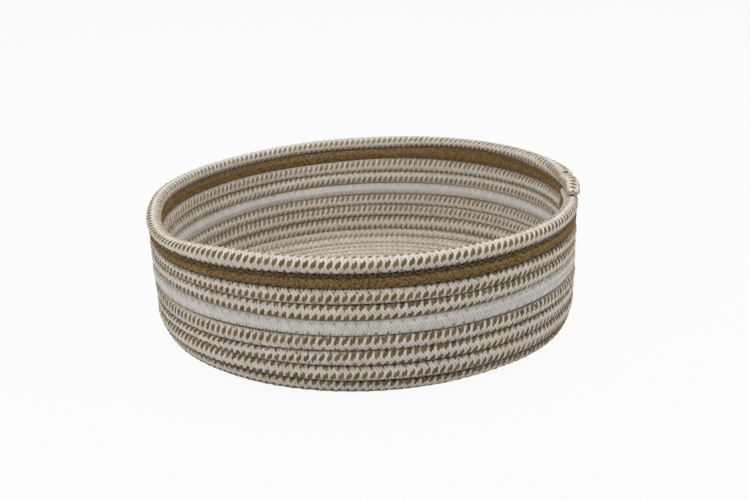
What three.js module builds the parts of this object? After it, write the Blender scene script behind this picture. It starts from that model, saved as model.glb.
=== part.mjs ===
// A round basket coiled from braided cord. One spiral lies flat as the base, bends up at the foot and climbs
// as the wall, so the whole basket is a single winding that rises by one row in each turn. It is made of six
// lengths of cord butted end to end, each a braided cover over a soft filler core, and a zigzag seam sews
// every row to the one before it: needle thread on the inner face, bobbin thread on the outer face.
// Millimetres, +Z up. The origin is on the floor, on the axis of the coil. Every cord ends on the +X side.
import * as THREE from "three";

// Driving dimensions of the basket
const RIM_RADIUS = 134.5; // axis to the middle of the cord where the coil ends
const BASKET_HEIGHT = 93; // floor to the top of the rim where the coil ends
const FOOT_BEND = 14.5; // bend of the middle line of the wall where the base turns up
const WALL_LEAN = 1.25; // degrees that the wall leans outwards
const EYE_RADIUS = 5.4; // axis to the middle of the cord where the coil starts

// Driving dimensions of the cord
const CORD_WIDTH = 8.5; // across the rows
const CORD_DEPTH = 9.2; // through the wall
const CORD_FACE = 4.4; // flat that the cord shows on each face of the wall
const ROW_GAP = 0.5; // between neighbouring rows
const CORE_WIDTH = 3.8; // filler across the rows
const CORE_DEPTH = 5; // filler through the wall
const CORE_CLEARANCE = 0.3; // between the filler and the braid around it
const BUTT_GAP = 0.3; // between the cut ends of two cords
const TAIL_LENGTH = 30; // last of the rim cord, laid on past the end of the wall
const TAIL_ROLL = 8; // degrees that the tail leans out over the row below it
const TAIL_TIP = 19; // last of the tail, empty of filler and pressed down towards its cut end
const TIP_WIDTH = 2.6; // across the rows at that cut end
const TIP_DEPTH = 6.6; // through the wall at that cut end

// Driving dimensions of the seam
const THREAD_RADIUS = 0.7; // strand that stands for the zigzag in its valley
const THREAD_CLEARANCE = 0.3; // between the strand and the rows on both sides of it

// Turns of each length of cord, counted down from the rim; the lower cord takes the rest of the wall
const RIM_TURNS = 1;
const BROWN_TURNS = 1;
const UPPER_TURNS = 2;
const WHITE_TURNS = 1;

// Facets of the winding
const STEPS_PER_TURN = 20;
const EYE_STEPS_PER_TURN = 10; // in the tight turns, where the facets are short anyway
const EYE_TURNS = 4;
const TAIL_STEPS = 5;
const THREAD_SIDES = 3;
const SAMPLES_PER_EDGE = 6; // for measuring the gap between turns

const PITCH = CORD_WIDTH + ROW_GAP;
const LEAN = THREE.MathUtils.degToRad(WALL_LEAN);
const BASE_MIDDLE = CORD_DEPTH / 2;
const RIM_MIDDLE = BASKET_HEIGHT - CORD_WIDTH / 2;

// Middle line of the wall in section: flat base, foot bend, leaning wall
const BEND_ANGLE = Math.PI / 2 - LEAN;
const BEND_LENGTH = FOOT_BEND * BEND_ANGLE;
const WALL_LENGTH = (RIM_MIDDLE - BASE_MIDDLE - FOOT_BEND * (1 - Math.sin(LEAN))) / Math.cos(LEAN);
const FLAT_LENGTH = RIM_RADIUS - WALL_LENGTH * Math.sin(LEAN) - FOOT_BEND * Math.cos(LEAN);
const LINE_LENGTH = FLAT_LENGTH + BEND_LENGTH + WALL_LENGTH;

// The wall's cords end at the first full turn past the middle of the foot, and the base cord starts there
const WALL_TURNS = Math.round((WALL_LENGTH + BEND_LENGTH / 2) / PITCH);
const LOWER_TURNS = WALL_TURNS - RIM_TURNS - BROWN_TURNS - UPPER_TURNS - WHITE_TURNS;

// Turns between the coil's end and its start, rounded to a facet of the eye so that its turns nest
const COIL_TURNS =
  Math.floor(((LINE_LENGTH - EYE_RADIUS) / PITCH) * EYE_STEPS_PER_TURN) / EYE_STEPS_PER_TURN;

// Point of the middle line at a distance from the axis along it, with the way up the wall and the way out
function middleLine(distance) {
  let angle = 0;
  const point = new THREE.Vector2(distance, BASE_MIDDLE);
  if (distance > FLAT_LENGTH) {
    angle = Math.min((distance - FLAT_LENGTH) / FOOT_BEND, BEND_ANGLE);
    point.set(FLAT_LENGTH + FOOT_BEND * Math.sin(angle), BASE_MIDDLE + FOOT_BEND * (1 - Math.cos(angle)));
  }
  const up = new THREE.Vector2(Math.cos(angle), Math.sin(angle));
  const past = distance - FLAT_LENGTH - BEND_LENGTH;
  if (past > 0) point.addScaledVector(up, past);
  return { point, up, out: new THREE.Vector2(up.y, -up.x) };
}

// Place of the cord in section, by the turns left before the coil's end, with its scale across the rows and
// through the wall; below zero is the tail, which rolls out over the row under it and is pressed flat at its tip
function cordPlace(turnsLeft) {
  if (turnsLeft >= 0) return { ...middleLine(LINE_LENGTH - PITCH * turnsLeft), scale: [1, 1] };
  const below = middleLine(LINE_LENGTH - PITCH * (turnsLeft + 1));
  const past = -turnsLeft * 2 * Math.PI * RIM_RADIUS;
  const roll = THREE.MathUtils.degToRad(TAIL_ROLL) * THREE.MathUtils.smoothstep(past, 0, TAIL_LENGTH / 2);
  const pressed = THREE.MathUtils.smoothstep(past, TAIL_LENGTH - TAIL_TIP, TAIL_LENGTH);
  const across = THREE.MathUtils.lerp(1, TIP_WIDTH / CORD_WIDTH, pressed);
  const through = THREE.MathUtils.lerp(1, TIP_DEPTH / CORD_DEPTH, pressed);
  const up = below.up.clone().rotateAround(new THREE.Vector2(), -roll);
  const point = below.point.clone().addScaledVector(up, (PITCH * (1 + across)) / 2);
  return { point, up, out: new THREE.Vector2(up.y, -up.x), scale: [across, through] };
}

// Outlines across the cord: x across the rows, y out of the wall
const CORD_OUTLINE = [
  new THREE.Vector2(CORD_FACE / 2, CORD_DEPTH / 2),
  new THREE.Vector2(-CORD_FACE / 2, CORD_DEPTH / 2),
  new THREE.Vector2(-CORD_WIDTH / 2, 0),
  new THREE.Vector2(-CORD_FACE / 2, -CORD_DEPTH / 2),
  new THREE.Vector2(CORD_FACE / 2, -CORD_DEPTH / 2),
  new THREE.Vector2(CORD_WIDTH / 2, 0),
];

function rectangle(width, depth) {
  return [
    new THREE.Vector2(width / 2, depth / 2),
    new THREE.Vector2(-width / 2, depth / 2),
    new THREE.Vector2(-width / 2, -depth / 2),
    new THREE.Vector2(width / 2, -depth / 2),
  ];
}

const CORE_OUTLINE = rectangle(CORE_WIDTH, CORE_DEPTH);
const BORE_OUTLINE = rectangle(CORE_WIDTH + 2 * CORE_CLEARANCE, CORE_DEPTH + 2 * CORE_CLEARANCE);
const THREAD_OUTLINE = Array.from({ length: THREAD_SIDES }, (_, i) => {
  const angle = Math.PI / 2 + (2 * Math.PI * i) / THREAD_SIDES;
  return new THREE.Vector2(Math.cos(angle), Math.sin(angle)).multiplyScalar(THREAD_RADIUS);
});

// Point in space of a point in section; the coil runs clockwise, seen from above, as its turns run out
function inSpace(section, turnsLeft) {
  const azimuth = 2 * Math.PI * turnsLeft;
  return new THREE.Vector3(
    section.x * Math.cos(azimuth),
    section.x * Math.sin(azimuth),
    section.y,
  );
}

// An outline set across the cord at one place of the coil
function ringAt(outline, turnsLeft, place) {
  return outline.map((corner) => {
    const section = place.point.clone();
    section.addScaledVector(place.up, corner.x * place.scale[0]);
    section.addScaledVector(place.out, corner.y * place.scale[1]);
    return inSpace(section, turnsLeft);
  });
}

// Turn counts of the rings from one end of a cord to the other, on shared facets so that the rows nest
function facetTurns(from, to) {
  const turns = [from];
  if (from < 0) for (let i = TAIL_STEPS - 1; i > 0; i--) turns.push((from * i) / TAIL_STEPS);
  for (let i = Math.max(0, Math.floor(from * STEPS_PER_TURN) + 1); i < to * STEPS_PER_TURN - 0.01; i++) {
    const inEye = i / STEPS_PER_TURN > COIL_TURNS - EYE_TURNS;
    if (!inEye || i % (STEPS_PER_TURN / EYE_STEPS_PER_TURN) === 0) turns.push(i / STEPS_PER_TURN);
  }
  turns.push(to);
  return turns;
}

// Closed solid through rings of one outline, hollow where bore rings are given. Each ring has the same
// number of corners, and the two ends are capped flat.
function sweep(rings, outline, boreRings = [], boreOutline = []) {
  const position = [];
  const index = [];
  const addSkin = (skin, first, second) => {
    const start = position.length / 3;
    const corners = skin[0].length;
    skin.forEach((ring) => ring.forEach((p) => position.push(p.x, p.y, p.z)));
    for (let i = 0; i + 1 < skin.length; i++) {
      for (let j = 0; j < corners; j++) {
        const a = start + i * corners + j;
        const b = start + i * corners + ((j + 1) % corners);
        const quad = { near: a, side: b, far: a + corners, cross: b + corners };
        index.push(quad.near, quad[first], quad[second], quad[second], quad[first], quad.cross);
      }
    }
    return start;
  };
  const outer = addSkin(rings, "side", "far");
  const bore = boreRings.length ? addSkin(boreRings, "far", "side") : 0;
  const cap = THREE.ShapeUtils.triangulateShape([...outline], boreRings.length ? [[...boreOutline]] : []);
  const corner = (ring, i) =>
    i < outline.length
      ? outer + ring * outline.length + i
      : bore + ring * boreOutline.length + (i - outline.length);
  cap.forEach(([a, b, c]) => {
    const last = rings.length - 1;
    index.push(corner(0, a), corner(0, c), corner(0, b));
    index.push(corner(last, a), corner(last, b), corner(last, c));
  });
  const geometry = new THREE.BufferGeometry();
  geometry.setAttribute("position", new THREE.Float32BufferAttribute(position, 3));
  geometry.setIndex(index);
  geometry.computeVertexNormals();
  return geometry;
}

function cordRings(outline, turns) {
  return turns.map((left) => ringAt(outline, left, cordPlace(left)));
}

// Points along the edges of a ring
function outlinePoints(ring) {
  return ring.flatMap((corner, i) => {
    const next = ring[(i + 1) % ring.length];
    return Array.from({ length: SAMPLES_PER_EDGE }, (_, k) => corner.clone().lerp(next, k / SAMPLES_PER_EDGE));
  });
}

// Least gap between a cord's own turns, measured on points of rings that are one turn apart
function leastGap(turns) {
  const end = turns[turns.length - 1];
  let least = Infinity;
  for (const left of turns.filter((t) => t + 1 <= end)) {
    const [here, below] = [left, left + 1].map((t) => outlinePoints(ringAt(CORD_OUTLINE, t, cordPlace(t))));
    for (const p of here) for (const q of below) least = Math.min(least, p.distanceTo(q));
  }
  return least;
}

// How far a point in section lies from the outline of the row at a place, for a point outside it
function gapToRow(point, place) {
  const from = point.clone().sub(place.point);
  const local = new THREE.Vector2(from.dot(place.up), from.dot(place.out));
  const gaps = CORD_OUTLINE.map((corner, i) => {
    const edge = CORD_OUTLINE[(i + 1) % CORD_OUTLINE.length].clone().sub(corner);
    const along = THREE.MathUtils.clamp(local.clone().sub(corner).dot(edge) / edge.lengthSq(), 0, 1);
    return local.distanceTo(corner.clone().addScaledVector(edge, along));
  });
  return Math.min(...gaps);
}

// Where a seam strand seats under the row with these turns left: it starts clear of the wall on one face and
// moves into the valley between that row and the one before it until it would touch one of them
function strandPlace(turnsLeft, face) {
  const valley = cordPlace(turnsLeft + 0.5);
  const rows = [cordPlace(turnsLeft), cordPlace(turnsLeft + 1)];
  const seat = (depth) => valley.point.clone().addScaledVector(valley.out, face * depth);
  const need = THREAD_RADIUS + THREAD_CLEARANCE;
  let clear = CORD_DEPTH;
  let touching = 0;
  for (let halving = 0; halving < 24; halving++) {
    const middle = (clear + touching) / 2;
    if (rows.every((row) => gapToRow(seat(middle), row) >= need)) clear = middle;
    else touching = middle;
  }
  return { ...valley, point: seat(clear) };
}

// Finishes
const finish = (color) => new THREE.MeshStandardMaterial({ color, roughness: 0.92, metalness: 0 });
const FLECKED = finish(0xc9bca8);
const WHITE = finish(0xd6d6d0);
const BROWN = finish(0x755a38);
const FILLER = finish(0xe6e0d2);
const THREAD = finish(0xd9d0bd);

// Six lengths of cord from the rim down, each with its turns
const CORDS = [
  { name: "rim_cord", turns: RIM_TURNS, material: FLECKED },
  { name: "brown_cord", turns: BROWN_TURNS, material: BROWN },
  { name: "upper_cord", turns: UPPER_TURNS, material: FLECKED },
  { name: "white_cord", turns: WHITE_TURNS, material: WHITE },
  { name: "lower_cord", turns: LOWER_TURNS, material: FLECKED },
  { name: "base_cord", turns: Infinity, material: FLECKED },
];

const basket = new THREE.Group();

function addPiece(name, geometry, material) {
  const mesh = new THREE.Mesh(geometry, material);
  mesh.name = name;
  basket.add(mesh);
}

// Half of a butt gap, and the lengths of the tail and of its filler, as turns of the rim's size
const RIM_TURN = 2 * Math.PI * RIM_RADIUS;
const HALF_BUTT = BUTT_GAP / 2 / RIM_TURN;
const TAIL_TURNS = TAIL_LENGTH / RIM_TURN;
const TAIL_FILLED = (TAIL_LENGTH - TAIL_TIP) / RIM_TURN;

function addCord({ name, material }, from, to) {
  const turns = facetTurns(from, to);
  const outer = cordRings(CORD_OUTLINE, turns);
  addPiece(`${name}_braid`, sweep(outer, CORD_OUTLINE, cordRings(BORE_OUTLINE, turns), BORE_OUTLINE), material);
  const filled = facetTurns(Math.max(from, -TAIL_FILLED), to);
  addPiece(`${name}_core`, sweep(cordRings(CORE_OUTLINE, filled), CORE_OUTLINE), FILLER);
  const gap = leastGap(turns);
  if (Number.isFinite(gap)) console.log(`${name}: least gap between its own turns ${gap.toFixed(2)} mm`);
}

let reached = 0;
for (const cord of CORDS) {
  const from = reached === 0 ? -TAIL_TURNS : reached + HALF_BUTT;
  const end = Math.min(reached + cord.turns, COIL_TURNS);
  addCord(cord, from, end === COIL_TURNS ? end : end - HALF_BUTT);
  reached = end;
}

// The seam follows every valley, from the eye of the base to the last row under the rim
const SEAM_TURNS = facetTurns(0, COIL_TURNS - 1);

function addThread(name, face) {
  const rings = SEAM_TURNS.map((left) => ringAt(THREAD_OUTLINE, left, strandPlace(left, face)));
  addPiece(name, sweep(rings, THREAD_OUTLINE), THREAD);
}

addThread("bobbin_thread", 1);
addThread("needle_thread", -1);

export default basket;
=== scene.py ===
import math

import bpy
import numpy as np
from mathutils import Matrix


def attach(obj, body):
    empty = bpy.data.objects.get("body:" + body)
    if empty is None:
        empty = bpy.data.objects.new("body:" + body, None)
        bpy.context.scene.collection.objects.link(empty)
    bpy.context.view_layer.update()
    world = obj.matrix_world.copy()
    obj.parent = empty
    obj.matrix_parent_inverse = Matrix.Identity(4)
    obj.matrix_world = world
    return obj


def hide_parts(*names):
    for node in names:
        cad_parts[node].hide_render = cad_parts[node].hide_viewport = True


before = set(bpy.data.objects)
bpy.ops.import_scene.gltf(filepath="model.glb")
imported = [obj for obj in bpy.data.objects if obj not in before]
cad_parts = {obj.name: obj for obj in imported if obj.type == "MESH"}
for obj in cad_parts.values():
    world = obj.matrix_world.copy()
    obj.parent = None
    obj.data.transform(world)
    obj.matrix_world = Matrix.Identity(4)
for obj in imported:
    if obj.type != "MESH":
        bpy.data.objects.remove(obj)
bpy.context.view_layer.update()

# Base cord
# The basket starts as a flat spiral of flecked braided cord, wound from an eye in the middle and sewn row to
# row. The cord is a braid of sixteen strands over a soft filler, and the same winding climbs as the wall.
# Lengths are in millimetres, and places along the coil in turns before its end.
MM = 0.001
RIM_RADIUS = 134.5
BASKET_HEIGHT = 93.0
FOOT_BEND = 14.5
WALL_LEAN = math.radians(1.25)
EYE_RADIUS = 5.4
EYE_CURL = 0.55
ROW = 9.0
CORD_WIDTH = 8.5
CORD_DEPTH = 9.2
TAIL_LENGTH = 30.0
TAIL_ROLL = math.radians(8)
TAIL_TIP = 19.0
TIP_WIDTH = 4.6
TIP_DEPTH = 8.6
BASE_ENDS = 9.0
LOWER_ENDS = 5.0
WHITE_ENDS = 4.0
UPPER_ENDS = 2.0
BROWN_ENDS = 1.0
BROWN_SLIM = 0.9
SLIM_JOIN = 0.05
RISE_WAVES = ((0.10, 2.3), (0.08, 5.71), (0.06, 9.37))
OUT_WAVES = ((0.12, 1.37), (0.10, 4.19), (0.08, 11.3))
WAVE_SHIFT = 5

BEND_ANGLE = math.pi / 2 - WALL_LEAN
BASE_MIDDLE = CORD_DEPTH / 2
WALL_RISE = BASKET_HEIGHT - CORD_WIDTH / 2 - BASE_MIDDLE - FOOT_BEND * (1 - math.sin(WALL_LEAN))
WALL_LENGTH = WALL_RISE / math.cos(WALL_LEAN)
FLAT_LENGTH = RIM_RADIUS - WALL_LENGTH * math.sin(WALL_LEAN) - FOOT_BEND * math.cos(WALL_LEAN)
LINE_LENGTH = FLAT_LENGTH + FOOT_BEND * BEND_ANGLE + WALL_LENGTH
COIL_TURNS = math.floor((LINE_LENGTH - EYE_RADIUS) / ROW * 10) / 10
EYE_TURNS = COIL_TURNS + EYE_CURL
RIM_TURN = 2 * math.pi * RIM_RADIUS
TAIL_TURNS = TAIL_LENGTH / RIM_TURN


def middle_line(distance):
    """Middle of the wall in section at a distance from the axis along it: straight out along the base,
    round the foot's bend, then straight up the leaning wall. Gives radius, height and the angle of the way
    up."""
    tilt = np.clip((distance - FLAT_LENGTH) / FOOT_BEND, 0, BEND_ANGLE)
    past = np.maximum(distance - FLAT_LENGTH - FOOT_BEND * BEND_ANGLE, 0)
    radius = np.minimum(distance, FLAT_LENGTH) + FOOT_BEND * np.sin(tilt) + past * np.cos(tilt)
    height = BASE_MIDDLE + FOOT_BEND * (1 - np.cos(tilt)) + past * np.sin(tilt)
    return radius, height, tilt


def wave(turns, waves):
    """Smooth unevenness along the coil: a sum of sines of the turn count, each with a size and a beat, whose
    beats don't repeat by rows."""
    return sum(size * np.sin(2 * np.pi * beat * turns + WAVE_SHIFT * beat) for size, beat in waves)


def smooth(value):
    """Smooth step from 0 to 1 as a value goes from 0 to 1."""
    share = np.clip(value, 0, 1)
    return share * share * (3 - 2 * share)


# Where a soft wall isn't even: how many turns before the coil's end the valley under the cord has settled,
# over how many turns to each side, and by how many millimetres. Below zero it is the upper edge of the rim,
# which has rolled down over the row under it at one place.
SAGS = [
    (-0.6, 0.3, 1.0), (-0.43, 0.1, 6.0), (0.0, 0.08, 1.5), (0.14, 0.1, -2.5), (0.59, 0.13, 3.6),
    (1.2, 0.12, -1.2), (1.58, 0.12, 2.5), (2.9, 0.2, -1.2), (3.9, 0.2, -2.0), (4.5, 0.2, 2.0),
    (5.55, 0.2, 3.0), (7.2, 0.4, 1.7), (7.9, 0.15, 1.2),
]

# How far the cord stands out from the even wall, in millimetres at so many turns before the coil's end. The
# rim flares in places, its end is drawn in, and the foot is rounder at the front.
STANDS_AT = [-0.03, 0.06, 0.2, 0.45, 0.6, 1.1, 8.0, 8.6, 8.83, 8.92, 9.6, 9.85, 9.95, 11.0]
STANDS_OUT = [-0.2, -2.4, 0.3, -0.8, 0.7, -0.5, -0.4, -1.4, -0.8, 1.0, -2.0, -1.4, 0.5, 0.0]


def settled(turns):
    """How far a valley has settled: the sum of the sags, each a smooth bell round its place."""
    return sum(sag * smooth(1 - np.abs(turns - at) / reach) for at, reach, sag in SAGS)


def eased(turns, at, values):
    """Value along the coil: smooth steps from one chosen place to the next."""
    places = np.array(at)
    chosen = np.array(values)
    after = np.clip(np.searchsorted(places, turns), 1, len(places) - 1)
    share = smooth((turns - places[after - 1]) / (places[after] - places[after - 1]))
    return chosen[after - 1] + (chosen[after] - chosen[after - 1]) * share


def cord_place(turns):
    """Middle of the cord in section, by the turns left before the coil's end: one row up the middle line in
    each turn, and below zero the tail, which rolls out over the row under it and is pressed towards its tip.
    The cord fills the room between the valleys above and below it, and stands in or out a little. Hand
    winding adds a slight wave. Also gives the scale of the cord across the rows and through the wall."""
    tail = turns < 0
    radius, height, tilt = middle_line(LINE_LENGTH - ROW * np.where(tail, turns + 1, turns))
    past = np.maximum(-turns, 0) * RIM_TURN
    tilt = tilt - TAIL_ROLL * smooth(2 * past / TAIL_LENGTH)
    pressed = smooth((past - TAIL_LENGTH + TAIL_TIP) / TAIL_TIP)
    under = settled(turns)
    over = np.where(tail, under, settled(turns - 1))
    across = (1 + (TIP_WIDTH / CORD_WIDTH - 1) * pressed) * (1 + (under - over) / ROW)
    through = 1 + (TIP_DEPTH / CORD_DEPTH - 1) * pressed
    joins = [BROWN_ENDS - SLIM_JOIN, BROWN_ENDS + SLIM_JOIN, UPPER_ENDS - SLIM_JOIN, UPPER_ENDS + SLIM_JOIN]
    through = through * np.interp(turns, joins, [1.0, BROWN_SLIM, BROWN_SLIM, 1.0])
    rise = np.where(tail, ROW * (1 + across) / 2, 0.0) - (under + over) / 2
    rise = rise + wave(turns, RISE_WAVES)
    out = wave(turns, OUT_WAVES) * np.clip(tilt, 0, 1)
    out = out + eased(turns, STANDS_AT, STANDS_OUT)
    radius = radius + rise * np.cos(tilt) + out * np.sin(tilt)
    height = np.maximum(height + rise * np.sin(tilt) - out * np.cos(tilt), BASE_MIDDLE)
    return radius, height, tilt, across, through


def in_space(turns, radius, height):
    """Point in space of a point in section: the coil runs clockwise, seen from above, to its end."""
    around = 2 * np.pi * turns
    return np.stack([radius * np.cos(around), radius * np.sin(around), height], axis=-1)


def running_length(points):
    """Length along a line of points, from its first point to each."""
    return np.concatenate([[0.0], np.cumsum(np.linalg.norm(np.diff(points, axis=0), axis=1))])


TABLE_POINTS = 40001
TURN_TABLE = np.linspace(EYE_TURNS, -TAIL_TURNS, TABLE_POINTS)
CORD_TABLE = running_length(in_space(TURN_TABLE, *cord_place(TURN_TABLE)[:2]))
SEAM_TURN_TABLE = np.linspace(COIL_TURNS - 1, 0, TABLE_POINTS)
SEAM_TABLE = running_length(in_space(SEAM_TURN_TABLE, *cord_place(SEAM_TURN_TABLE + 0.5)[:2]))

HALF_WIDTH = 4.56
HALF_DEPTH = 4.6
BORE_RADIUS = 2.9
RIM_SQUARENESS = 2.4
BROWN_SQUARENESS = 2.2
ROW_SQUARENESS = 3.2
SQUARE_JOIN = 0.1
COLUMNS = 8
CROWN = 2.12
CROWN_LEAN = 0.85
RELIEF = 0.6
CREST_POWER = 2.2
EDGE_CREST = 0.3
UNEVEN = 0.25
UNEVEN_BEATS = (17.3, 7.7)
ZIP = 0.27
WIDER = 0.08
END_EASE = 3
END_SINK = 0.9
END_CROWNS = 1.2
CROWNS_PER_TILE = 64
RINGS_PER_CROWN = 4
POINTS_PER_COLUMN = 3
BORE_SIDES = 12
BORE_STRIDE = 8
BORE_SHUT = 0.98
STITCH_PERIOD = 6.07
STITCH_ANGLE = math.radians(53.5)
# Needle holes sink the skin. They are darkened in colour as painted shade, and so are the clefts between rows
# and the rim's shade on the brown cord.
PIT_SIZE = 0.75
PIT_DEPTH = 0.7
CLEFT_FROM = 0.68
CLEFT_SPAN = 0.2
CLEFT_OUTSIDE = 0.75
CLEFT_INSIDE = 0.5
CLEFT_WHITE = 0.42
SHADE_FROM = 0.05
SHADE_SPAN = 0.4
RIM_SHADE = 0.58
PALER_FROM = 7.4
PALER_WALL = 0.22
PALER_BASE = 0.55
TIP_CROWNS = 2.6
TIP_ROUND = 3.4
CREAM_SPOT = [[0.0078, 0.18], [0.0088, 0.18], [0.0078, 0.19]]


def cord_point(turns, angle, sink):
    """Point on the cord's skin. The section is an oval flattened on its four sides by the sewing: a power
    sum of its sine and cosine gives the reach at each angle, from the way up to the way out. The rim and the
    brown cord are rounder than the rows below. Sink lowers the skin towards the middle of the cord."""
    radius, height, tilt, across, through = cord_place(turns)
    joins = [BROWN_ENDS - SQUARE_JOIN, BROWN_ENDS, UPPER_ENDS - SQUARE_JOIN, UPPER_ENDS]
    power = np.interp(turns, joins, [RIM_SQUARENESS, BROWN_SQUARENESS, BROWN_SQUARENESS, ROW_SQUARENESS])
    up, side = np.cos(angle), np.sin(angle)
    reach = (np.abs(up) ** power + np.abs(side) ** power) ** (-1 / power)
    rise = across * (HALF_WIDTH - sink) * reach * up
    out = through * (HALF_DEPTH - sink) * reach * side
    radius = radius + rise * np.cos(tilt) + out * np.sin(tilt)
    height = height + rise * np.sin(tilt) - out * np.cos(tilt)
    return in_space(turns, radius, height)


# How the braid is turned about its own line on each flecked row, in degrees: at the right, behind, at the
# left, at the front left, in front and at the front right. Rows count from the rim. The tail and the base
# have turns of their own.
FED_PLACES = (0.06, 0.25, 0.55, 0.64, 0.75, 0.86)
FED_ROWS = {
    0: (50, 5, 20, 35, 50, 40),
    2: (20, 0, -25, -5, -20, 5),
    3: (65, 50, 5, 0, 15, 30),
    5: (0, 5, 50, 60, 40, 40),
    6: (75, 95, 110, 115, 35, 0),
    7: (35, 25, 30, 35, -15, 5),
    8: (35, 40, 80, 90, 105, 115),
}
TAIL_FED = -25
BASE_FED = 98
FED_WAVES = ((0.12, 0.37), (0.1, 1.13), (0.08, 2.71))
FED_AT = [0.0] + [row + place for row in FED_ROWS for place in FED_PLACES] + [BASE_ENDS]
FED_TURN = [TAIL_FED] + [turn for fed in FED_ROWS.values() for turn in fed] + [BASE_FED]


def fed_turn(turns):
    """Angle of the braid about its own line: straight from one chosen turn to the next along the wall, with a
    slow wander in the base."""
    wander = wave(turns, FED_WAVES) * np.clip(turns - BASE_ENDS, 0, 1)
    return np.radians(np.interp(turns, FED_AT, FED_TURN)) + wander


def stitch_pit(turns, angle):
    """How far a point of the cord's skin is into a needle hole, from 0 to 1: a bell round the nearest hole of
    the seam above or below the row, whose holes take turns between the two rows that it joins. The hole sinks
    the skin and is darkened as painted shade. Also how far it is pressed against the next row, where the
    cleft is darkened as painted shade, and how far it is in the soft shade that the rim casts on the brown
    cord, which is painted into its colour, each a smooth step of the cosine of its angle."""
    upper = np.cos(angle) > 0
    seam = np.interp(-np.where(upper, turns - 1, turns), -SEAM_TURN_TABLE, SEAM_TABLE)
    beat = seam / STITCH_PERIOD - np.where(upper, 0.0, 0.5)
    along = (beat - np.round(beat)) * STITCH_PERIOD
    across = (np.arctan2(np.abs(np.sin(angle)), np.abs(np.cos(angle))) - STITCH_ANGLE) * HALF_WIDTH
    sewn = np.where(upper, turns >= 1, turns <= COIL_TURNS - 1)
    cleft = smooth((np.abs(np.cos(angle)) - CLEFT_FROM) / CLEFT_SPAN)
    brown = (turns > BROWN_ENDS) & (turns < UPPER_ENDS)
    shaded = brown * smooth((np.cos(angle) - SHADE_FROM) / SHADE_SPAN)
    return sewn * np.exp(-(along ** 2 + across ** 2) / PIT_SIZE ** 2), sewn * cleft, shaded


def strip(rows, columns, first, closed):
    """Quads of a grid of points numbered row by row: each joins two neighbours to the same two in the next
    row, and a closed grid also joins the last column to the first."""
    row = np.arange(rows - 1)[:, None] * columns
    column = np.arange(columns if closed else columns - 1)[None, :]
    beside = (column + 1) % columns
    quads = np.stack([row + column, row + beside, row + columns + beside, row + columns + column], axis=-1)
    return first + quads.reshape(-1, 4)


def grid_map(u, v):
    """Places on the map of the four corners of every quad of a grid, from those of its rows and columns."""
    low_u, low_v = np.meshgrid(u[:-1], v[:-1], indexing="ij")
    high_u, high_v = np.meshgrid(u[1:], v[1:], indexing="ij")
    return np.stack([np.stack([low_u, low_v], -1), np.stack([low_u, high_v], -1),
                     np.stack([high_u, high_v], -1), np.stack([high_u, low_v], -1)], axis=-2)


def put_mesh(name, points, faces, maps, flat=0, marks=None):
    """A mesh object at the origin from points in millimetres, lists of faces with the same number of corners,
    and the place of every corner on the piece's map. The last so many faces are flat, the others smooth.
    Marks are named values, one at each point, for the piece's material to read."""
    mesh = bpy.data.meshes.new(name)
    corners = np.concatenate([np.asarray(group).ravel() for group in faces])
    sizes = np.concatenate([np.full(len(group), len(group[0])) for group in faces])
    mesh.vertices.add(len(points))
    mesh.vertices.foreach_set("co", (np.asarray(points) * MM).astype(np.float32).ravel())
    mesh.loops.add(len(corners))
    mesh.loops.foreach_set("vertex_index", corners.astype(np.int32))
    mesh.polygons.add(len(sizes))
    mesh.polygons.foreach_set("loop_start", np.concatenate([[0], np.cumsum(sizes)[:-1]]).astype(np.int32))
    mesh.polygons.foreach_set("use_smooth", np.arange(len(sizes)) < len(sizes) - flat)
    layer = mesh.uv_layers.new(name="OFBake")
    places = np.concatenate([m.reshape(-1, 2) for m in maps])
    layer.uv.foreach_set("vector", places.astype(np.float32).ravel())
    for key, values in (marks or {}).items():
        attribute = mesh.attributes.new(key, "FLOAT", "POINT")
        attribute.data.foreach_set("value", values.astype(np.float32))
    mesh.update(calc_edges=True)
    mesh.validate()
    piece = bpy.data.objects.new(name, mesh)
    bpy.context.scene.collection.objects.link(piece)
    return piece


def end_fans(around, last_ring, first_bore, last_bore):
    """Triangles that close a cover at its two ends: from every side of the bore's end a wedge of them runs
    out to the skin's end ring, and those of the far end are turned round to face outwards."""
    ratio = around // BORE_SIDES
    spoke = np.arange(BORE_SIDES)
    fans = []
    for ring, hole, turn in ((0, first_bore, 1), (last_ring, last_bore, -1)):
        rim = [ring + (ratio * spoke + k) % around for k in range(ratio + 1)]
        near, far = hole + spoke, hole + (spoke + 1) % BORE_SIDES
        wedge = [np.stack([rim[k], near, rim[k + 1]], axis=1) for k in range(ratio)]
        wedge.append(np.stack([rim[ratio], near, far], axis=1))
        fans.append(np.concatenate(wedge)[:, ::turn])
    return np.concatenate(fans)


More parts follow.
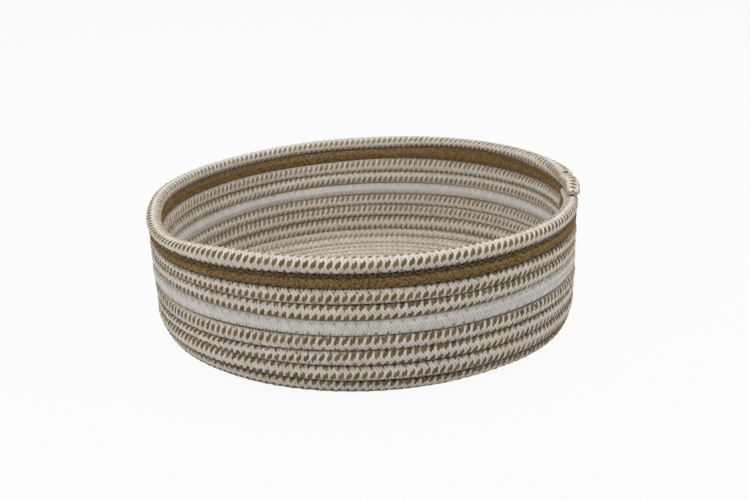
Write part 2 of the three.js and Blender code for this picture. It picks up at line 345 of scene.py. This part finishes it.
def braid(name, begins, ends, share=(0.0, 1.0)):
    """The braided cover between two turn counts, or a share of it. Its rings run zigzag round the cord: along
    the lean of the crowns in each column, so a crown's crest and the valleys beside it fall on rings. Crowns
    of neighbouring columns are half a step apart and interlock. A bore of its own closes the cover inside.
    The tail's end is rounded and its bore shuts. Marks say where painted shade darkens it, in needle holes,
    in the clefts between rows and under the rim, and where flecks are pale."""
    start, stop = np.interp([-begins, -ends], -TURN_TABLE, CORD_TABLE)
    crowns = 2 * round((stop - start) / CROWN / 2)
    low, high = (2 * round(crowns * part / 2) for part in share)
    phase = np.arange(low * RINGS_PER_CROWN, high * RINGS_PER_CROWN + 1)[:, None] / RINGS_PER_CROWN
    place = np.arange(COLUMNS * POINTS_PER_COLUMN)[None, :] / POINTS_PER_COLUMN
    column = np.floor(place)
    within = place - column
    side = column % 2
    ease = np.clip(np.minimum(phase, crowns - phase) / END_EASE, 0, 1)
    lean = CROWN_LEAN * (np.where(side == 0, within, 1 - within) - 0.5)
    length = start + (stop - start) / crowns * (phase + ease * lean)
    turns = np.interp(length, CORD_TABLE, TURN_TABLE)
    zipped = place + (ZIP * np.cos(2 * np.pi * phase) + WIDER) * (1 - 2 * side) * (2 * within - 1)
    angle = 2 * np.pi * zipped / COLUMNS + fed_turn(turns)
    off_crest = phase - 0.5 * side - np.round(phase - 0.5 * side)
    crest = 1 - np.abs(2 * off_crest) ** CREST_POWER
    crest = np.where(within == 0, EDGE_CREST, crest)
    crown = np.floor(phase - 0.5 * side + 0.5)
    uneven = 1 + UNEVEN * np.sin(UNEVEN_BEATS[0] * crown + UNEVEN_BEATS[1] * column)
    pit_and_shade, cleft, shaded = stitch_pit(turns, angle)
    end_round = END_SINK * (1 - np.clip(np.minimum(phase, crowns - phase) / END_CROWNS, 0, 1)) ** 2
    if ends < 0:
        short = 1 - np.clip((crowns - phase) / TIP_CROWNS, 0, 1)
        end_round = np.maximum(end_round, TIP_ROUND * (1 - np.sqrt(1 - short ** 2)))
    sink = RELIEF * (1 - crest * uneven) * (1 - cleft) + PIT_DEPTH * pit_and_shade + end_round
    white = (turns > WHITE_ENDS) & (turns < LOWER_ENDS)
    # Painted shade: needle holes and the clefts between rows are darkened in colour, the white cord's clefts
    # less.
    outer_shade = np.maximum(pit_and_shade, np.where(white, CLEFT_WHITE, CLEFT_OUTSIDE) * cleft)
    # Painted shade that the rim casts on the brown cord's upper side.
    outer_shade = np.maximum(outer_shade, RIM_SHADE * shaded)
    # On the inner face the holes and clefts get a lighter painted shade, and the rim's shade is not painted.
    painted_shade = np.where(np.sin(angle) > 0, outer_shade, CLEFT_INSIDE * np.maximum(pit_and_shade, cleft))
    skin = cord_point(turns, angle, sink)
    rings, around = phase.shape[0], place.shape[1]
    bore_rings = np.r_[np.arange(0, rings - 1, BORE_STRIDE), rings - 1]
    bore_angle = 2 * np.pi * np.arange(BORE_SIDES)[None, :] / BORE_SIDES
    bore_turns = np.interp(start + (stop - start) / crowns * phase[bore_rings], CORD_TABLE, TURN_TABLE)
    shut = 1 - BORE_SHUT * smooth(-bore_turns / TAIL_TURNS)
    bore_radius = BORE_RADIUS * cord_place(bore_turns)[3] * shut
    bore = cord_point(bore_turns, bore_angle, HALF_DEPTH - bore_radius)
    first = rings * around
    skin_faces = strip(rings, around, 0, True)
    bore_faces = strip(len(bore_rings), BORE_SIDES, first, True)[:, ::-1]
    fan = end_fans(around, first - around, first, first + (len(bore_rings) - 1) * BORE_SIDES)
    u = (phase[:, 0] - low) / CROWNS_PER_TILE
    v = np.arange(around + 1) / around
    skin_map = grid_map(u, v)
    bore_map = grid_map(u[bore_rings], np.arange(BORE_SIDES + 1) / BORE_SIDES)[..., ::-1, :]
    fan_map = np.tile(CREAM_SPOT, (len(fan), 1, 1))
    inside = np.zeros(len(bore_rings) * BORE_SIDES)
    paler = PALER_WALL + (PALER_BASE - PALER_WALL) * smooth(turns - PALER_FROM)
    paled = smooth(-2 * np.sin(angle)) * paler
    marks = {
        "pit_and_shade": np.concatenate([painted_shade.ravel(), inside]),
        "paled": np.concatenate([paled.ravel(), inside]),
    }
    return put_mesh(name, np.concatenate([skin.reshape(-1, 3), bore.reshape(-1, 3)]),
                    [skin_faces, bore_faces, fan], [skin_map, bore_map, fan_map], len(fan), marks)


class Shade:
    """One output of a shader node. Sums on it add Math nodes, and node adds any other kind of node."""

    def __init__(self, tree, socket=None):
        self.tree = tree
        self.socket = socket

    def node(self, kind, settings, sockets, output=0):
        """A node of this kind with its settings made first, then each socket given a value or a link."""
        made = self.tree.nodes.new(kind)
        for key, value in settings.items():
            setattr(made, key, value)
        for key, value in sockets.items():
            if isinstance(value, Shade):
                self.tree.links.new(value.socket, made.inputs[key])
            else:
                made.inputs[key].default_value = value
        return Shade(self.tree, made.outputs[output])

    def maths(self, operation, *values):
        return self.node("ShaderNodeMath", {"operation": operation}, dict(enumerate(values)))

    def __add__(self, other):
        return self.maths("ADD", self, other)

    def __radd__(self, other):
        return self.maths("ADD", other, self)

    def __sub__(self, other):
        return self.maths("SUBTRACT", self, other)

    def __rsub__(self, other):
        return self.maths("SUBTRACT", other, self)

    def __mul__(self, other):
        return self.maths("MULTIPLY", self, other)

    def __rmul__(self, other):
        return self.maths("MULTIPLY", other, self)

    def __mod__(self, other):
        return self.maths("FLOORED_MODULO", self, other)

    def __abs__(self):
        return self.maths("ABSOLUTE", self)

    def floor(self):
        return self.maths("FLOOR", self)

    def ramp(self, low, high):
        """Smooth step from 0 at low to 1 at high."""
        return self.node("ShaderNodeMapRange", {"interpolation_type": "SMOOTHSTEP"},
                         {"Value": self, "From Min": low, "From Max": high})

    def blend(self, start, end):
        """Colour between two, by this value."""
        return self.node("ShaderNodeMix", {"data_type": "RGBA"}, {0: self, 6: start, 7: end}, output=2)


FLECK_REACH = 0.65
FLECK_TAPER = 0.65
FLECK_EDGE = 0.03
STRAY_SCALE = 1.7
STRAY_ALONG = 0.22
STRAY_AROUND = 0.16
FIBRES_ALONG = 9.0
FIBRES_AROUND = 1.5
SPECKS_ALONG = 1.4
SPECKS_AROUND = 2.8
# Creases between crowns and columns, and the marked holes and clefts, are darkened in colour by these as
# painted shade.
CROWN_CREASE = 0.34
COLUMN_CREASE = 0.4
COLUMN_DEPTH = 0.8
PIT_DARK = 0.9
YARNS = 4.0
BUMP_HEIGHT = 0.3 * MM


def tint(red, green, blue):
    """A colour as a screen names it, from 0 to 255, in the linear values that a shader takes."""
    return tuple(((c / 255 + 0.055) / 1.055) ** 2.4 for c in (red, green, blue)) + (1.0,)


def new_finish(name):
    """An empty node material, with the start of its sums and its surface shader."""
    material = bpy.data.materials.new(name)
    material.use_nodes = True
    return material, Shade(material.node_tree), material.node_tree.nodes["Principled BSDF"]


def braid_finish(name, plain, plain_dim, fleck, fleck_dim, shade, depth, speckled=0.0, fuzz=0.08):
    """Cotton braid, drawn on the cover's own map: u counts crowns along the cord and v columns round it.
    Every second crown of every second column takes the fleck colour, as a lens that lies straight where its
    crown leans, and paler where the cover is marked so. Each crown has fine yarns and its own tone, or is
    speckled by so much. Creases between crowns are darkened by their depth as painted shade, and so are the
    places that the cover marks with painted shade: needle holes, the clefts between rows and the rim's shade
    on the brown cord. Fuzz is a sheen."""
    material, start, surface = new_finish(name)
    spot = start.node("ShaderNodeUVMap", {"uv_map": "OFBake"}, {})
    along = start.node("ShaderNodeSeparateXYZ", {}, {0: spot}, output=0) * CROWNS_PER_TILE
    around = start.node("ShaderNodeSeparateXYZ", {}, {0: spot}, output=1) * COLUMNS
    grain = start.node("ShaderNodeCombineXYZ", {}, {0: along * STRAY_SCALE, 1: around * STRAY_SCALE})
    stray = start.node("ShaderNodeTexNoise", {}, {"Vector": grain, "Scale": 1.0, "Detail": 3.0}) - 0.5
    along = along + stray * STRAY_ALONG
    around = around + stray * STRAY_AROUND
    column = around.floor()
    side = column % 2.0
    crown_at = along - 0.5 * side
    crown = (crown_at + 0.5).floor()
    across = abs(crown_at - crown)
    upward = around - column - 0.5
    within = abs(upward)
    most_room = 0.5 + WIDER + ZIP
    room = 0.5 + WIDER + ZIP * along.maths("COSINE", along * (2 * math.pi))
    straight = along + upward * CROWN_LEAN * (1.0 - room * (1 / most_room))
    beside = abs((straight + 1.0) % 2.0 - 1.0)
    length = within * room * 2.0
    lens = beside + FLECK_TAPER * length * length
    flecked = (1.0 - side) * (1.0 - lens.ramp(FLECK_REACH - FLECK_EDGE, FLECK_REACH + FLECK_EDGE))
    paled = start.node("ShaderNodeAttribute", {"attribute_name": "paled"}, {}, output=2)
    flecked = flecked * (1.0 - paled)
    own = start.node("ShaderNodeCombineXYZ", {}, {0: crown, 1: column})
    luck = start.node("ShaderNodeTexWhiteNoise", {"noise_dimensions": "2D"}, {"Vector": own})
    yarn_at = start.node("ShaderNodeCombineXYZ", {}, {0: along * FIBRES_ALONG, 1: around * FIBRES_AROUND})
    fibre = start.node("ShaderNodeTexNoise", {}, {"Vector": yarn_at, "Scale": 1.0, "Detail": 4.0})
    # Painted shade in the creases between crowns and between columns.
    crease = across.ramp(CROWN_CREASE, 0.5)
    crease = crease.maths("MAXIMUM", crease, within.ramp(COLUMN_CREASE, 0.5) * COLUMN_DEPTH)
    speck_at = start.node("ShaderNodeCombineXYZ", {}, {0: along * SPECKS_ALONG, 1: around * SPECKS_AROUND})
    speck = start.node("ShaderNodeTexNoise", {}, {"Vector": speck_at, "Scale": 1.0, "Detail": 2.0})
    mottle = (luck * 0.6 + fibre.ramp(0.3, 0.7) * 0.4).ramp(0.0, 1.0)
    mottle = mottle * (1.0 - speckled) + speck.ramp(0.38, 0.62) * speckled
    plain_shade = mottle.blend(plain, plain_dim)
    fleck_shade = mottle.blend(fleck, fleck_dim)
    colour = flecked.blend(plain_shade, fleck_shade)
    # Painted shade from the cover's marks: needle holes, clefts between rows and the rim's shade on the brown
    # cord.
    pit_and_shade = start.node("ShaderNodeAttribute", {"attribute_name": "pit_and_shade"}, {}, output=2)
    painted_shade = crease.maths("MAXIMUM", crease * depth, pit_and_shade.ramp(0.25, 0.8) * PIT_DARK)
    start.tree.links.new(painted_shade.blend(colour, shade).socket, surface.inputs["Base Color"])
    start.tree.links.new((fibre * 0.12 + 0.84).socket, surface.inputs["Roughness"])
    yarns = abs((along * YARNS) % 1.0 - 0.5)
    height = (1.0 - across * across * 4.0) * 0.5 + fibre * 0.5 - yarns * 0.25
    bump = start.node("ShaderNodeBump", {}, {"Strength": 0.5, "Distance": BUMP_HEIGHT, "Height": height})
    start.tree.links.new(bump.socket, surface.inputs["Normal"])
    surface.inputs["Sheen Weight"].default_value = fuzz
    surface.inputs["Sheen Roughness"].default_value = 0.6
    surface.inputs["Sheen Tint"].default_value = plain
    surface.inputs["Specular IOR Level"].default_value = 0.2
    return material


CREAM = tint(225, 217, 208)
CREAM_DIM = tint(204, 194, 178)
FLECK = tint(132, 112, 78)
FLECK_DIM = tint(100, 84, 54)
# Painted shade colour for creases, needle holes and clefts between rows, and its strength in the creases.
CREASE_SHADE = tint(64, 52, 36)
CREASE_DEPTH = 0.28
flecked_finish = braid_finish("flecked_braid", CREAM, CREAM_DIM, FLECK, FLECK_DIM, CREASE_SHADE, CREASE_DEPTH)


def dress(piece, finish, slot, *nodes):
    """Gives a finished piece its material and its place on the one body, and hides the solids that it stands
    for.
    """
    piece.data.materials.append(finish)
    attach(piece, "root")
    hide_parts(*nodes)


BASE_PARTS = 3
for part in range(BASE_PARTS):
    share = (part / BASE_PARTS, (part + 1) / BASE_PARTS)
    cover = braid(f"base_braid_{part + 1}", EYE_TURNS, BASE_ENDS, share)
    dress(cover, flecked_finish, "flecked_braid", "base_cord_braid")

# Filler of the base cord
# Loose spun cotton fibre runs inside every braid and keeps it round. It isn't sewn on its own, and it would
# show only where a cord is cut.
CORE_RADIUS = 2.6
CORE_SIDES = 10
CORE_STEP = 4.0
CORE_INSET = 0.3
CORE_SWELL = 0.05
CORE_BEAT = 0.9
CORE_TIP = 0.82
CORE_TILE = 100
FILLER = tint(236, 230, 218)
FILLER_DIM = tint(205, 197, 182)
FIBRE_SCALE = 1800.0


def core(name, begins, ends):
    """Round rod along the middle of the cord between two turn counts, with a slight swell as a sine of its
    length, closed by a point at each end."""
    start, stop = np.interp([-begins, -ends], -TURN_TABLE, CORD_TABLE)
    rings = 2 + int((stop - start) / CORE_STEP)
    length = np.linspace(start + CORE_INSET, stop - CORE_INSET, rings)[:, None]
    swell = 1 + CORE_SWELL * np.sin(length * CORE_BEAT)
    swell[[0, -1]] = CORE_TIP
    angle = 2 * np.pi * np.arange(CORE_SIDES)[None, :] / CORE_SIDES
    turns = np.interp(length, CORD_TABLE, TURN_TABLE)
    radius = CORE_RADIUS * swell * np.minimum(cord_place(turns)[3], 1)
    rod = cord_point(turns, angle, HALF_DEPTH - radius)
    tips = rod[[0, -1]].mean(axis=1)
    first = rings * CORE_SIDES
    side = np.arange(CORE_SIDES)
    beside = (side + 1) % CORE_SIDES
    ends_at = first - CORE_SIDES
    near = np.stack([side, np.full(CORE_SIDES, first), beside], axis=1)
    far = np.stack([ends_at + beside, np.full(CORE_SIDES, first + 1), ends_at + side], axis=1)
    u = (length[:, 0] - start) / CORE_TILE
    v = np.arange(CORE_SIDES + 1) / CORE_SIDES
    tip_map = np.tile([[0.0, 0.0], [0.05, 0.0], [0.0, 0.05]], (2 * CORE_SIDES, 1, 1))
    return put_mesh(name, np.concatenate([rod.reshape(-1, 3), tips]),
                    [strip(rings, CORE_SIDES, 0, True), np.concatenate([near, far])],
                    [grid_map(u, v), tip_map])


def filler_finish():
    """Spun cotton fibre: pale, matt, with streaks."""
    material, start, surface = new_finish("filler")
    spot = start.node("ShaderNodeTexCoord", {}, {}, output=3)
    fibre = start.node("ShaderNodeTexNoise", {}, {"Vector": spot, "Scale": FIBRE_SCALE, "Detail": 4.0})
    colour = fibre.ramp(0.3, 0.7).blend(FILLER, FILLER_DIM)
    start.tree.links.new(colour.socket, surface.inputs["Base Color"])
    bump = start.node("ShaderNodeBump", {}, {"Strength": 0.6, "Distance": BUMP_HEIGHT, "Height": fibre})
    start.tree.links.new(bump.socket, surface.inputs["Normal"])
    surface.inputs["Roughness"].default_value = 0.95
    return material


filler = filler_finish()
dress(core("base_core", EYE_TURNS, BASE_ENDS), filler, "filler", "base_cord_core")

# Lower cord
# Four turns of the same flecked cotton braid, which go on from the base without a cut. They turn up at the
# foot and climb as the lower wall, each sewn to the row under it.
LOWER_PARTS = 2
for part in range(LOWER_PARTS):
    share = (part / LOWER_PARTS, (part + 1) / LOWER_PARTS)
    cover = braid(f"lower_braid_{part + 1}", BASE_ENDS, LOWER_ENDS, share)
    dress(cover, flecked_finish, "flecked_braid", "lower_cord_braid")
dress(core("lower_core", BASE_ENDS, LOWER_ENDS), filler, "filler", "lower_cord_core")

# White cord
# One turn of plain white cotton braid round the middle of the wall. It butts against the flecked cord at both
# ends and is sewn to the rows above and below.
WHITE = tint(222, 218, 212)
WHITE_DIM = tint(204, 200, 194)
# Painted shade colour and strength for the white cord's creases, needle holes and clefts.
WHITE_CREASE_SHADE = tint(96, 92, 84)
WHITE_DEPTH = 0.3
white_finish = braid_finish("white_braid", WHITE, WHITE_DIM, WHITE, WHITE_DIM, WHITE_CREASE_SHADE, WHITE_DEPTH)
dress(braid("white_braid", LOWER_ENDS, WHITE_ENDS), white_finish, "white_braid", "white_cord_braid")
dress(core("white_core", LOWER_ENDS, WHITE_ENDS), filler, "filler", "white_cord_core")

# Upper cord
# Two more turns of the flecked cotton braid above the white cord, sewn row to row like the others.
# It uses the base cord's material.
dress(braid("upper_braid", WHITE_ENDS, UPPER_ENDS), flecked_finish, "flecked_braid", "upper_cord_braid")
dress(core("upper_core", WHITE_ENDS, UPPER_ENDS), filler, "filler", "upper_cord_core")

# Brown cord
# One turn of plain brown cotton braid just under the rim, a little slimmer and more fuzzy than the flecked
# cord. The rim hangs over it, and the shade on its upper side is painted into its colour.
BROWN = tint(158, 130, 86)
BROWN_DIM = tint(78, 56, 28)
# Painted shade colour and strength for the brown cord's creases, needle holes, clefts and the rim's shade.
BROWN_CREASE_SHADE = tint(38, 26, 14)
BROWN_DEPTH = 0.6
BROWN_SPECKS = 0.75
BROWN_FUZZ = 0.4
brown_finish = braid_finish("brown_braid", BROWN, BROWN_DIM, BROWN, BROWN_DIM, BROWN_CREASE_SHADE,
                            BROWN_DEPTH, BROWN_SPECKS, BROWN_FUZZ)
dress(braid("brown_braid", UPPER_ENDS, BROWN_ENDS), brown_finish, "brown_braid", "brown_cord_braid")
dress(core("brown_core", UPPER_ENDS, BROWN_ENDS), filler, "filler", "brown_cord_core")

# Rim cord
# The last turn is flecked cotton braid. Its tail is laid on past the end of the wall, over the start of the
# same row, and is pressed thinner towards a blunt, rounded tip.
dress(braid("rim_braid", BROWN_ENDS, -TAIL_TURNS), flecked_finish, "flecked_braid", "rim_cord_braid")
dress(core("rim_core", BROWN_ENDS, (TAIL_TIP - TAIL_LENGTH) / RIM_TURN), filler, "filler", "rim_cord_core")

# Seam threads
# A zigzag seam joins every row to the next: fine pale thread crosses each valley from hole to hole, needle
# thread on the inner face and bobbin thread on the outer face.
THREAD_RADIUS = 0.12
THREAD_SIDES = 5
STITCH_STEPS = np.array([0.0, 0.12, 0.5, 0.88])
STITCH_LIFT = np.array([-1.0, 0.0, -0.05, 0.0])
RINGS_PER_TILE = 64
CAP_MAP = [[0.0, 0.0], [0.02, 0.0], [0.02, 0.02], [0.01, 0.03], [0.0, 0.02]]
PLIES_PER_TILE = 128.0
PLY_TURNS = 2.0
THREAD = tint(176, 158, 130)
THREAD_DIM = tint(146, 126, 98)


def zigzag(name, face):
    """Thread on one face of the wall: a tube along straight stitches between holes that take turns in the
    row above and the row below a valley, dipping into each hole. Rings are set square to the thread's run."""
    half = STITCH_PERIOD / 2
    count = int(SEAM_TABLE[-1] / half)
    beat = np.arange(count + 1)
    turns = np.interp(beat * half, SEAM_TABLE, SEAM_TURN_TABLE)
    below = beat % 2 == 0
    angle = face * np.where(below, STITCH_ANGLE, math.pi - STITCH_ANGLE)
    row = turns + below
    holes = cord_point(row, angle, 0.0)
    holes[:, :2] = in_space(turns, np.linalg.norm(holes[:, :2], axis=1), holes[:, 2])[:, :2]
    tilt = cord_place(turns + 0.5)[2]
    out = face * in_space(turns, np.sin(tilt), -np.cos(tilt))
    steps = STITCH_STEPS[None, :, None]
    line = holes[:-1, None] * (1 - steps) + holes[1:, None] * steps
    line = line + STITCH_LIFT[None, :, None] * out[:-1, None]
    line = line.reshape(-1, 3)
    out = np.repeat(out[:-1], len(STITCH_STEPS), axis=0)
    run = np.gradient(line, axis=0)
    run = run / np.linalg.norm(run, axis=1, keepdims=True)
    side = np.cross(run, out)
    side = side / np.linalg.norm(side, axis=1, keepdims=True)
    up = np.cross(side, run)
    spin = 2 * np.pi * np.arange(THREAD_SIDES)[None, :, None] / THREAD_SIDES
    tube = line[:, None] + THREAD_RADIUS * (np.cos(spin) * side[:, None] + np.sin(spin) * up[:, None])
    rings = len(line)
    faces = strip(rings, THREAD_SIDES, 0, True)
    last = (rings - 1) * THREAD_SIDES
    caps = np.stack([np.arange(THREAD_SIDES)[::-1], last + np.arange(THREAD_SIDES)])
    u = np.arange(rings) / RINGS_PER_TILE
    v = np.arange(THREAD_SIDES + 1) / THREAD_SIDES
    cap_map = np.tile(CAP_MAP, (len(caps), 1, 1))
    return put_mesh(name, tube.reshape(-1, 3), [faces, caps], [grid_map(u, v), cap_map], len(caps))


def thread_finish():
    """Twisted sewing thread: cream, a little glossy, with slanting plies."""
    material, start, surface = new_finish("thread")
    spot = start.node("ShaderNodeUVMap", {"uv_map": "OFBake"}, {})
    along = start.node("ShaderNodeSeparateXYZ", {}, {0: spot}, output=0)
    around = start.node("ShaderNodeSeparateXYZ", {}, {0: spot}, output=1)
    ply = abs((along * PLIES_PER_TILE + around * PLY_TURNS) % 1.0 - 0.5)
    colour = ply.ramp(0.1, 0.5).blend(THREAD, THREAD_DIM)
    start.tree.links.new(colour.socket, surface.inputs["Base Color"])
    bump = start.node("ShaderNodeBump", {}, {"Strength": 0.4, "Distance": 0.1 * MM, "Height": 0.5 - ply})
    start.tree.links.new(bump.socket, surface.inputs["Normal"])
    surface.inputs["Roughness"].default_value = 0.55
    return material


thread = thread_finish()
dress(zigzag("needle_zigzag", -1), thread, "thread", "needle_thread")
dress(zigzag("bobbin_zigzag", 1), thread, "thread", "bobbin_thread")

# Studio
# A plain white floor that keeps a faint shadow, soft light from above and in front, and a camera at the
# photograph's angle, turned a little on its own axis as the photograph is.
FLOOR_HALF = 6.0
FLOOR_GREY = (0.6, 0.6, 0.6, 1)
FLOOR_WHITE = 0.94
WORLD_LIGHT = 0.2


def backdrop_rays(start):
    """1 for a ray that shows the backdrop: from the camera, off a gloss or through a clear piece."""
    kinds = ("Is Camera Ray", "Is Glossy Ray", "Is Transmission Ray")
    seen, gloss, clear = (start.node("ShaderNodeLightPath", {}, {}, output=kind) for kind in kinds)
    return seen.maths("MAXIMUM", seen, gloss.maths("MAXIMUM", gloss, clear))


floor_mesh = bpy.data.meshes.new("floor")
floor_mesh.from_pydata([(-FLOOR_HALF, -FLOOR_HALF, 0), (FLOOR_HALF, -FLOOR_HALF, 0),
                        (FLOOR_HALF, FLOOR_HALF, 0), (-FLOOR_HALF, FLOOR_HALF, 0)], [], [(0, 1, 2, 3)])
floor = bpy.data.objects.new("floor", floor_mesh)
bpy.context.scene.collection.objects.link(floor)
floor_material, start, surface = new_finish("floor")
surface.inputs["Base Color"].default_value = FLOOR_GREY
surface.inputs["Roughness"].default_value = 0.9
glow = start.node("ShaderNodeEmission", {}, {"Color": (1, 1, 1, 1), "Strength": 1.0})
lit = Shade(start.tree, surface.outputs[0])
mixed = start.node("ShaderNodeMixShader", {}, {0: backdrop_rays(start) * FLOOR_WHITE, 1: lit, 2: glow})
start.tree.links.new(mixed.socket, start.tree.nodes["Material Output"].inputs["Surface"])
floor_mesh.materials.append(floor_material)

world = bpy.data.worlds.new("studio")
bpy.context.scene.world = world
world.use_nodes = True
sky = Shade(world.node_tree)
backdrop = world.node_tree.nodes["Background"]
backdrop.inputs["Color"].default_value = (1, 1, 1, 1)
strength = backdrop_rays(sky) * (1 - WORLD_LIGHT) + WORLD_LIGHT
world.node_tree.links.new(strength.socket, backdrop.inputs["Strength"])


def soft_lamp(name, place, aim, size, power):
    """A square area lamp at a place, turned so that it shines at a point."""
    lamp = bpy.data.lights.new(name, "AREA")
    lamp.size = size
    lamp.energy = power
    holder = bpy.data.objects.new(name, lamp)
    holder.location = place
    run = np.array(aim) - np.array(place)
    level = math.hypot(run[0], run[1])
    holder.rotation_euler = (math.atan2(level, -run[2]), 0, math.atan2(-run[0], run[1]))
    bpy.context.scene.collection.objects.link(holder)


LAMP_AIM = (0, 0, 0.05)
soft_lamp("overhead", (0.0, 0.0, 1.5), LAMP_AIM, 1.2, 11.2)
soft_lamp("front_left", (-1.0, -0.85, 0.95), LAMP_AIM, 0.9, 11.4)
soft_lamp("right", (1.3, -0.5, 0.9), LAMP_AIM, 0.9, 10.6)

CAMERA_BACK = 0.6407
CAMERA_UP = 0.2627
CAMERA_DIP = 0.3285
CAMERA_ROLL = -0.0434
FOCAL_PIXELS = 1016.4
FRAME_WIDTH = 750
SIDE_PIXELS = -10.9
SENSOR_WIDTH = 36.0
lens = bpy.data.cameras.new("camera")
lens.sensor_width = SENSOR_WIDTH
lens.lens = SENSOR_WIDTH * FOCAL_PIXELS / FRAME_WIDTH
lens.shift_x = -SIDE_PIXELS / FRAME_WIDTH
lens.clip_start = 0.01
camera = bpy.data.objects.new("camera", lens)
camera.location = (0, -CAMERA_BACK, CAMERA_UP)
camera.rotation_mode = "ZXY"
camera.rotation_euler = (math.pi / 2 - CAMERA_DIP, 0, CAMERA_ROLL)
bpy.context.scene.collection.objects.link(camera)
bpy.context.scene.camera = camera
bpy.context.scene.view_settings.view_transform = "Standard"
